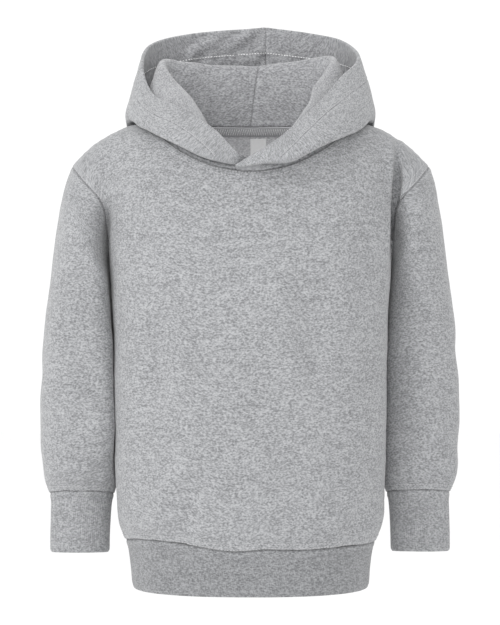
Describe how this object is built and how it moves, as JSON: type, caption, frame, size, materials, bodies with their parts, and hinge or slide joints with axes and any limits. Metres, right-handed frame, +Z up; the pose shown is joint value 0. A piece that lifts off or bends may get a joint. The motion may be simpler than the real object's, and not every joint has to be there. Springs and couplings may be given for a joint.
{
  "type": "toddler hoodie",
  "caption": "Toddler's pullover fleece hoodie, filled out as if worn, with long sleeves, rib cuffs, a rib waistband and a two-panel hood worn down.",
  "frame": {"origin": "middle of the neck opening, level with the back neck seam, where the wearer's neck and shoulders hold the garment", "axes": "+Z up; the wearer faces -Y; +X to the wearer's left"},
  "size_m": [0.3892, 0.2055, 0.5283],
  "materials": {
    "fleece": "brushed-back cotton-blend fleece, heather grey, with a fine plain knit face",
    "rib": "fine rib knit, heather grey, a little darker than the fleece",
    "seam_tape": "narrow knit tape with a pale zigzag stitch",
    "label_cloth": "white woven satin label, bare"
  },
  "bodies": {
    "root": {"front_panel": "fleece", "back_panel": "fleece", "sleeve_left": "fleece", "sleeve_right": "fleece", "hood_left": "fleece", "hood_right": "fleece", "cuff_left": "rib", "cuff_right": "rib", "waistband": "rib", "neck_tape": "seam_tape", "label": "label_cloth"}
  },
  "joints": []
}
